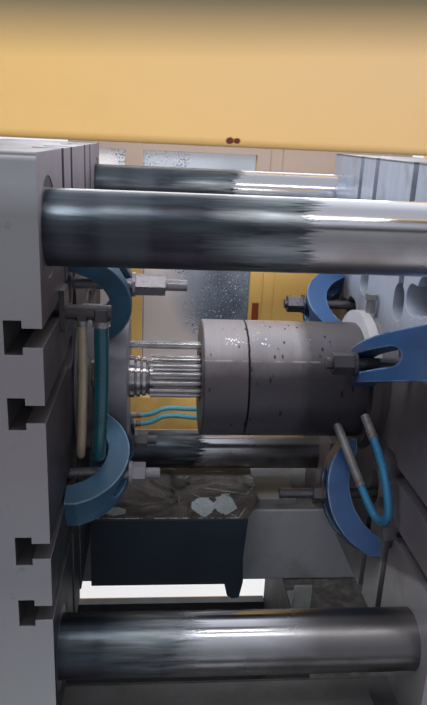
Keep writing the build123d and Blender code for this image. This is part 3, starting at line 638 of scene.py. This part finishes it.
finishes = {
    "yellow": paint("yellow_paint", (0.86, 0.71, 0.47), (0.84, 0.67, 0.42), 0.15),
    "header": header_paint("cover_paint"),
    "bed": bed_paint("bed_paint"),
    "beam": beam_paint("beam_paint"),
    "gate_yellow": paint("gate_yellow", (0.89, 0.735, 0.45), (0.85, 0.68, 0.38), 0.25, oil_height=0.86,
                         muted_height=AXIS_Z + 0.20),
    "grey_paint": paint("grey_paint", (0.46, 0.47, 0.50), (0.38, 0.385, 0.41), 0.5, 0.3, oil_height=0.5),
    "latch": paint("latch_paint", (0.60, 0.27, 0.18), (0.46, 0.20, 0.14), 0.4),
    "blue": clamp_paint("clamp_blue", (0.142, 0.242, 0.385), (0.105, 0.19, 0.31)),
    "blue_dark": clamp_paint("clamp_blue_oily", (0.19, 0.32, 0.415), (0.105, 0.175, 0.245)),
    "platen": moving_platen("platen_casting"),
    "fixed_platen": fixed_platen("fixed_platen_casting"),
    "casting": steel("grey_casting", (0.44, 0.45, 0.47), (0.24, 0.24, 0.25),
                     0.55, oily=0.4, metallic=0.2),
    "dark_steel": steel("dark_steel", (0.40, 0.39, 0.40), (0.16, 0.15, 0.16),
                        0.35, oily=0.6, metallic=0.4),
    "rail_steel": steel("rail_steel", (0.42, 0.42, 0.43), (0.20, 0.19, 0.19),
                        0.5, grain=(1, 30, 30), oily=0.6, metallic=0.3),
    "stud_steel": steel("stud_steel", (0.50, 0.49, 0.52), (0.16, 0.155, 0.17),
                        0.28, grain=(30, 1, 1), oily=0.5, metallic=0.7),
    "oily_stud": steel("oily_stud_steel", (0.40, 0.40, 0.43), (0.12, 0.12, 0.135),
                       0.24, grain=(30, 1, 1), oily=0.6, metallic=0.8),
    "nipple": steel("nipple_steel", (0.60, 0.595, 0.61), (0.22, 0.215, 0.22),
                    0.25, oily=0.5, metallic=0.7),
    "manifold": steel("manifold_steel", (0.25, 0.24, 0.255), (0.11, 0.10, 0.11),
                      0.3, oily=0.6, metallic=0.5),
    "bright_steel": steel("bright_steel", (0.78, 0.77, 0.78), (0.40, 0.38, 0.37),
                          0.3, oily=0.3, metallic=0.6),
    "flange": flange_steel("flange_steel"),
    "mould": mould_steel("mould_steel"),
    "core_plate": steel("core_plate_steel", (0.44, 0.44, 0.485), (0.26, 0.25, 0.28),
                        0.34, oily=0.4, metallic=0.3),
    "core": steel("core_steel", (0.92, 0.91, 0.92), (0.12, 0.115, 0.125),
                  0.15, grain=(0.1, 6, 6), oily=0.7, metallic=1.0),
    "brass": steel("brass_fitting", (0.66, 0.62, 0.58), (0.30, 0.25, 0.22), 0.3, oily=0.4, metallic=0.6),
    "tray": tray_metal("tray_sheet"),
    "rubber": rubber("curtain_rubber", (0.085, 0.115, 0.15), 0.5),
    "grip": rubber("grip_plastic", (0.10, 0.10, 0.105), 0.45),
    "door": paint("door_paint", (0.83, 0.67, 0.40), (0.79, 0.62, 0.34), 0.3, oil_height=0.12),
    "fastener": steel("fastener_steel", (0.62, 0.62, 0.63), (0.28, 0.27, 0.27),
                      0.3, oily=0.4, metallic=0.8),
    "bracket": paint("bracket_paint", (0.58, 0.60, 0.60), (0.46, 0.47, 0.475), 0.5, 0.35),
    "pane": pane("splashed_window", MOULD_X),
    "front_pane": pane("front_window", MOULD_X - 0.85),
    "hose_yellow": hose_skin("hose_yellow_skin", (0.44, 0.40, 0.345), (0.32, 0.24, 0.19), 0.3),
    "hose_teal": hose_skin("hose_teal_skin", (0.055, 0.215, 0.26), (0.035, 0.10, 0.125)),
    "hose_rear": hose_skin("hose_rear_skin", (0.25, 0.46, 0.51), (0.08, 0.27, 0.33)),
    "hose_blue": hose_skin("hose_blue_skin", (0.12, 0.33, 0.46), (0.05, 0.18, 0.26)),
}
dressing = {
    "bed_cabinet": "bed", "bed_pedestal": "bed", "bed_sills": "bed",
    "bed_front_beam": "beam", "bed_rear_beam": "beam", "levelling_feet": "dark_steel",
    "guide_rails": "rail_steel", "fixed_platen": "fixed_platen", "moving_platen": "platen",
    "tail_platen": "casting", "tie_bar_nuts": "dark_steel", "platen_bushes": "dark_steel",
    "clamp_cylinder": "casting", "cylinder_gland": "dark_steel", "clamp_ram": "bright_steel",
    "slide_shoes": "dark_steel", "mould_fixed_flange": "flange", "mould_cavity_body": "mould",
    "mould_cavity_ring": "mould", "mould_moving_flange": "core_plate", "mould_core_plate": "core_plate",
    "mould_core": "core", "mould_clamps_fixed": "blue", "mould_clamps_moving": "blue_dark",
    "clamp_studs_fixed": "oily_stud", "clamp_studs_moving": "stud_steel", "drip_tray": "tray",
    "rubber_curtain": "rubber", "hose_manifold": "manifold", "hose_elbows": "brass",
    "hose_nipples": "nipple", "top_front_cover": "header", "clamp_housing": "yellow",
    "guard_frame": "yellow", "gate_tracks": "grey_paint", "rear_gate": "gate_yellow",
    "rear_gate_window": "pane", "rear_gate_latch": "latch", "rear_gate_rollers": "dark_steel",
    "front_gate": "gate_yellow", "front_gate_window": "front_pane",
}


def dress(piece, material):
    """Give a piece one material."""
    piece.data.materials.clear()
    piece.data.materials.append(material)


def dress_nodes():
    """Dress every CAD node; each tie bar gets its own grease."""
    for node, finish in dressing.items():
        dress(nodes[node], finishes[finish])
    # Colours of the painted shade on the bars' undersides.
    brown = (0.57, 0.52, 0.51)
    dark = (0.42, 0.395, 0.385)
    grease_edges = {"upper_front": (0.036, 0.14, 0.006, brown, 0.020, 0.0),
                    "upper_rear": (0.022, 0.2, 0.004, brown, 0.004, 0.0),
                    "lower_front": (-0.080, 0.5, 0.020, dark, 0.034, 0.8),
                    "lower_rear": (-0.020, 0.2, 0.004, dark, 0.030, 0.6)}
    for place, (edge_x, *rest) in grease_edges.items():
        node = f"tie_bar_{place}"
        low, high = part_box(node)
        centre_z = (low[2] + high[2]) / 2
        dress(nodes[node], tie_bar(f"chrome_{place}", MOULD_X + edge_x, centre_z, *rest))


# Hose routes, in millimetres from the mould's middle on the machine axis, as in part.py.
yellow_route = [(-206, -208, 148), (-206, -208, 76), (-209, -208, 0), (-212, -198, -38),
                (-214, -176, -46), (-215, -148, -26), (-216, -124, 6), (-216, -124, 40)]
teal_route = [(-183, -208, 148), (-183, -208, 76), (-186, -208, 0), (-189, -198, -38),
              (-191, -180, -46), (-193, -150, -26), (-194, -124, 6), (-194, -124, 40)]
rear_route = [(-150, 130, -124), (-124, 130, -124), (-98, 132, -108), (-40, 134, -114), (8, 134, -104),
              (44, 134, -94), (72, 134, -96), (84, 134, -114), (72, 133, -132), (44, 131, -134),
              (8, 129, -130), (-40, 127, -127), (-98, 126, -120), (-124, 126, -139), (-150, 126, -139)]
blue_route = [(199, -130, -38), (202, -162, -54), (208, -184, -86), (214, -196, -128),
              (213, -188, -148), (211, -169, -158), (205, -149, -153), (190, -124, -116)]


def in_frame(route):
    """Route points in metres in the shared frame."""
    return [Vector((MOULD_X + x / 1000, y / 1000, AXIS_Z + z / 1000)) for x, y, z in route]


def hose(name, node, route, diameter, body, finish):
    """A hose on one smooth curve, held by a fitting at both ends."""
    points = in_frame(route)
    curve = bpy.data.curves.new(name, "CURVE")
    curve.dimensions = "3D"
    curve.bevel_depth = diameter / 2
    curve.bevel_resolution = 6
    curve.resolution_u = 16
    curve.use_fill_caps = True
    spline = curve.splines.new("NURBS")
    spline.points.add(len(points) - 1)
    for target, point in zip(spline.points, points):
        target.co = (*point, 1.0)
    spline.order_u = 3
    spline.use_endpoint_u = True
    piece = bpy.data.objects.new(name, curve)
    bpy.context.collection.objects.link(piece)
    curve.materials.append(finishes[finish])
    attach(piece, body)
    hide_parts(node)
    rings = collars(name, points, diameter, body)


def hoses():
    """The four hoses, with their diameters in metres."""
    hose("yellow_hose", "hose_yellow", yellow_route, 0.012, MOVING, "hose_yellow")
    hose("teal_hose", "hose_teal", teal_route, 0.018, MOVING, "hose_teal")
    hose("rear_hose", "hose_rear", rear_route, 0.009, MOVING, "hose_rear")
    hose("blue_hose", "hose_blue", blue_route, 0.012, BASE, "hose_blue")


def block(shape, low, high, bevel=0.002):
    """Add a bar or plate with rounded edges to a bmesh, between two corners."""
    low, high = Vector(low), Vector(high)
    place = Matrix.Translation((low + high) / 2) @ Matrix.Diagonal((*(high - low), 1.0))
    made = bmesh.ops.create_cube(shape, size=1.0, matrix=place)
    edges = list({edge for corner in made["verts"] for edge in corner.link_edges})
    bmesh.ops.bevel(shape, geom=edges, offset=bevel, segments=2, affect="EDGES", profile=0.5)


def bolt(shape, place, way, radius):
    """Add a chamfered hexagon head on its washer, standing along way."""
    turn = Matrix.Translation(place) @ Vector(way).to_track_quat("Z", "Y").to_matrix().to_4x4()
    # Segments, then foot and top radius and foot and top height as shares of the radius.
    washer, head, chamfer = (20, 1.9, 1.75, 0.0, 0.25), (6, 1.2, 1.2, 0.25, 0.75), (6, 1.2, 0.9, 0.75, 0.9)
    for sides, wide, top, low, high in (washer, head, chamfer):
        place = turn @ Matrix.Translation((0, 0, radius * (low + high) / 2))
        bmesh.ops.create_cone(shape, cap_ends=True, segments=sides, radius1=radius * wide,
                              radius2=radius * top, depth=radius * (high - low), matrix=place)


def fit(name, shape, finish, body):
    """Turn a bmesh into a piece that rides on a body."""
    mesh = bpy.data.meshes.new(name)
    shape.to_mesh(mesh)
    shape.free()
    mesh.materials.append(finishes[finish])
    piece = bpy.data.objects.new(name, mesh)
    bpy.context.collection.objects.link(piece)
    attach(piece, body)
    return piece


def slats(shape, reach_x, z_low, count, wall, side, deep):
    """Add pressed louvres to a bmesh: slats that stand out from the wall at y = wall, towards side."""
    x_low, x_high = reach_x
    y_low, y_high = sorted((wall, wall + side * deep))
    for row in range(count):
        z = z_low + SLAT_PITCH * row
        block(shape, (x_low, y_low, z), (x_high, y_high, z + SLAT_HEIGHT), 0.0035)


def corners_of(reach_x, reach_z, inset):
    """The four corners of a panel, moved inwards."""
    (x_low, x_high), (z_low, z_high) = reach_x, reach_z
    return [(x, z) for x in (x_low + inset, x_high - inset) for z in (z_low + inset, z_high - inset)]


def cabinet_fittings():
    """Doors, hinges, catches, louvres and screws on the bed's long sides, and the rear housing panel."""
    doors, metal, vents = bmesh.new(), bmesh.new(), bmesh.new()
    for side in (-1, 1):
        wall = side * BED_Y
        face = wall + side * DOOR_THICK
        y_low, y_high = sorted((wall, face))
        way = (0, side, 0)
        for hinge_x, catch_x in DOOR_PAIRS:
            x_low, x_high = sorted((hinge_x, catch_x))
            block(doors, (x_low, y_low, DOOR_Z[0]), (x_high, y_high, DOOR_Z[1]), 0.003)
            inward = 1 if catch_x > hinge_x else -1
            for z in HINGE_HEIGHTS:
                x_pair = sorted((hinge_x - inward * 0.012, hinge_x + inward * 0.012))
                y_pair = sorted((wall, face + side * 0.006))
                block(metal, (x_pair[0], y_pair[0], z), (x_pair[1], y_pair[1], z + 0.05), 0.003)
            x_pair = sorted((catch_x - inward * 0.045, catch_x - inward * 0.020))
            y_pair = sorted((face, face + side * 0.014))
            block(metal, (x_pair[0], y_pair[0], CATCH_Z[0]), (x_pair[1], y_pair[1], CATCH_Z[1]), 0.004)
            slats(vents, (x_low + 0.09, x_high - 0.09), 0.375, 4, face, side, SLAT_DEPTH)
        x_low, x_high = SIDE_PANEL_X
        block(doors, (x_low, y_low, DOOR_Z[0]), (x_high, y_high, DOOR_Z[1]), 0.003)
        slats(vents, SIDE_VENTS_X, 0.16, 6, face, side, SLAT_DEPTH)
        for x, z in corners_of(SIDE_PANEL_X, DOOR_Z, 0.018):
            bolt(metal, (x, face, z), way, 0.005)
    face = BED_Y + REAR_PANEL_THICK
    (x_low, x_high), (z_low, z_high) = REAR_PANEL_X, REAR_PANEL_Z
    block(doors, (x_low, BED_Y, z_low), (x_high, face, z_high), 0.0012)
    slats(vents, REAR_VENTS_X, 1.24, 6, face, 1, REAR_SLAT_DEPTH)
    for x, z in corners_of(REAR_PANEL_X, REAR_PANEL_Z, 0.02):
        bolt(metal, (x, face, z), (0, 1, 0), 0.0035)
    fit("cabinet_doors", doors, "door", BASE)
    fit("door_hinges_and_catches", metal, "fastener", BASE)
    fit("door_louvres", vents, "door", BASE)


def gate_fittings():
    """Grips on the outer faces of both gates, and the screws that clamp their windows."""
    for gate, window, body, side, grip_x in (("front_gate", "front_gate_window", BASE, -1, -0.18),
                                             ("rear_gate", "rear_gate_window", GATE, 1, 0.60)):
        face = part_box(gate)[0][1] if side < 0 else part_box(gate)[1][1]
        grip, screws = bmesh.new(), bmesh.new()
        for z in GRIP_FOOT_HEIGHTS:
            y_pair = sorted((face, face + side * 0.012))
            block(grip, (grip_x - 0.011, y_pair[0], z), (grip_x + 0.011, y_pair[1], z + 0.022), 0.003)
        y_pair = sorted((face + side * 0.009, face + side * 0.022))
        block(grip, (grip_x - 0.013, y_pair[0], GRIP_BAR_Z[0]),
              (grip_x + 0.013, y_pair[1], GRIP_BAR_Z[1]), 0.005)
        low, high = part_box(window)
        for step in range(4):
            x = low[0] + (high[0] - low[0]) * step / 3
            for z in (low[2] - 0.014, high[2] + 0.014):
                bolt(screws, (x, face, z), (0, side, 0), 0.0035)
        fit(f"{gate}_grip", grip, "grip", body)
        fit(f"{gate}_window_screws", screws, "fastener", body)


def bed_bracket():
    """The light grey angle bracket that stands on the pedestal behind the lower bar."""
    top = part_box("bed_pedestal")[1][2]
    x_low, x_high = BRACKET_X
    angle = bmesh.new()
    block(angle, (x_low, 0.124, top), (x_high, 0.124 + BRACKET_THICK, top + 0.062), 0.0015)
    block(angle, (x_low, 0.129, top), (x_high, 0.185, top + BRACKET_THICK), 0.0015)
    fit("bed_angle_bracket", angle, "bracket", BASE)
    heads = bmesh.new()
    for y in BRACKET_BOLT_Y:
        bolt(heads, (BRACKET_BOLT_X, y, top + BRACKET_THICK), (0, 0, 1), 0.0045)
    fit("bed_bracket_bolts", heads, "fastener", BASE)


def collars(name, points, diameter, body):
    """Crimped collars round both ends of a hose, each a ring with two raised beads."""
    shape = bmesh.new()
    for start, onward in ((points[0], points[1]), (points[-1], points[-2])):
        way = (onward - start).normalized()
        turn = way.to_track_quat("Z", "Y").to_matrix().to_4x4()
        for ahead, long, wide in ((0.0045, 0.009, 1.10), (0.002, 0.002, 1.22), (0.007, 0.002, 1.22)):
            place = Matrix.Translation(start + way * ahead) @ turn
            bmesh.ops.create_cone(shape, cap_ends=True, segments=32, radius1=diameter / 2 * wide,
                                  radius2=diameter / 2 * wide, depth=long, matrix=place)
    return fit(f"{name}_collars", shape, "nipple", body)


# The camera stands before the open gate, a little above the machine axis, looking slightly down.
CAMERA_PLACE = Vector((MOULD_X - 0.1193, -0.9882, AXIS_Z + 0.3637))
CAMERA_TURN = (math.radians(-5.398), math.radians(-18.014), math.radians(-2.672))
FOCAL_LENGTH_IN_HEIGHTS = 662.996 / 705


def camera():
    """The photo's view."""
    turn, tilt, roll = CAMERA_TURN
    spin = Matrix.Rotation(turn, 3, "Z") @ Matrix.Rotation(tilt, 3, "X") @ Matrix.Rotation(roll, 3, "Y")
    right, ahead, up = spin.col[0], spin.col[1], spin.col[2]
    data = bpy.data.cameras.new("camera")
    data.sensor_width = 36
    data.lens = 36 * FOCAL_LENGTH_IN_HEIGHTS
    data.clip_start = 0.02
    view = bpy.data.objects.new("camera", data)
    bpy.context.collection.objects.link(view)
    pose = Matrix((right, up, -ahead)).transposed().to_4x4()
    pose.translation = CAMERA_PLACE
    view.matrix_world = pose
    bpy.context.scene.camera = view


def lamp(name, place, target, size, power, in_gloss=False, spread=180):
    """A rectangular lamp; only those in_gloss show in reflections."""
    data = bpy.data.lights.new(name, "AREA")
    data.shape = "RECTANGLE"
    data.size, data.size_y = size
    data.energy = power
    data.spread = math.radians(spread)
    light = bpy.data.objects.new(name, data)
    light.location = place
    light.rotation_euler = (Vector(target) - Vector(place)).to_track_quat("-Z", "Y").to_euler()
    light.visible_glossy = in_gloss
    light.visible_camera = False
    bpy.context.collection.objects.link(light)


def room():
    """A pale room, dimmer on the side where the photographer stands."""
    world = bpy.data.worlds.new("studio")
    bpy.context.scene.world = world
    world.use_nodes = True
    tree = world.node_tree

    def ramp(value, low, high, to_low, to_high):
        node = tree.nodes.new("ShaderNodeMapRange")
        node.interpolation_type = "SMOOTHSTEP"
        numbers = {"From Min": low, "From Max": high, "To Min": to_low, "To Max": to_high}
        for socket, number in numbers.items():
            node.inputs[socket].default_value = number
        tree.links.new(value, node.inputs["Value"])
        return node.outputs["Result"]

    def join(how, a, b):
        node = tree.nodes.new("ShaderNodeMath")
        node.operation = how
        tree.links.new(a, node.inputs[0])
        tree.links.new(b, node.inputs[1])
        return node.outputs[0]

    way = tree.nodes.new("ShaderNodeSeparateXYZ")
    tree.links.new(tree.nodes.new("ShaderNodeTexCoord").outputs["Generated"], way.inputs[0])
    above = ramp(way.outputs["Z"], 0.1, 0.9, 0.24, 0.5)
    high = ramp(way.outputs["Z"], 0.95, 0.5, 0.2, 0.72)
    behind = join("MULTIPLY", ramp(way.outputs["Y"], 0.1, 0.5, 0.0, 1.0), high)
    background = tree.nodes["Background"]
    background.inputs["Color"].default_value = linear(0.965, 0.975, 1.0)
    tree.links.new(join("ADD", above, behind), background.inputs["Strength"])


def studio():
    """The pale room, broad soft lamps, and a few small ones whose reflections run along the bars."""
    room()
    lamp("ceiling", (0.35, 0.1, 3.2), (0.35, 0.0, 1.0), (3.0, 2.0), 36)
    lamp("front", (-0.3, -3.2, 2.2), (0.3, 0.0, 1.1), (2.6, 1.8), 12, spread=80)
    lamp("right", (3.2, -1.6, 2.2), (0.3, 0.0, 1.0), (1.6, 1.6), 6, spread=90)
    lamp("left", (-3.4, -1.0, 2.2), (-0.3, 0.0, 1.0), (1.6, 1.6), 6, spread=90)
    lamp("rear", (0.5, 3.2, 2.2), (0.3, 0.0, 1.0), (2.4, 1.6), 14, in_gloss=True, spread=90)
    lamp("over_gate", (0.30, -0.25, 2.25), (0.33, 0.45, 1.15), (1.2, 0.4), 7, spread=100)
    lamp("over_platen", (0.0, -0.10, 2.15), (0.58, 0.0, 1.25), (0.4, 0.8), 3.5, spread=100)
    lamp("low_fill", (0.25, -1.3, 1.25), (0.30, 0.0, 0.9), (0.6, 0.4), 0.8, spread=100)
    lamp("tube", (0.35, -1.11, 2.72), (0.35, -0.283, 0.85), (4.0, 0.09), 9, in_gloss=True)
    lamp("inner_tube", (0.225, -0.425, 1.60), (0.225, -0.283, 1.39), (0.65, 0.012), 0.4, in_gloss=True)
    lamp("inner_spot", (0.09, -0.44, 1.55), (0.13, -0.283, 1.38), (0.06, 0.04), 0.08, in_gloss=True)
    mesh = bpy.data.meshes.new("floor")
    half = 6.0
    corners = [(-half, -half, 0), (half, -half, 0), (half, half, 0), (-half, half, 0)]
    mesh.from_pydata(corners, [], [(0, 1, 2, 3)])
    floor = bpy.data.objects.new("floor", mesh)
    bpy.context.collection.objects.link(floor)
    s = Shader("floor")
    # Painted light: the floor is paler towards the rear.
    s.colour(s.mix(s.ramp(s.axis("Y"), 0.2, 0.8), linear(0.72, 0.725, 0.74), linear(0.95, 0.955, 0.965)))
    s.rough(0.8)
    floor.data.materials.append(s.material)


bpy.context.scene.view_settings.view_transform = "Standard"
dress_nodes()
hoses()
cabinet_fittings()
gate_fittings()
bed_bracket()
camera()
studio()
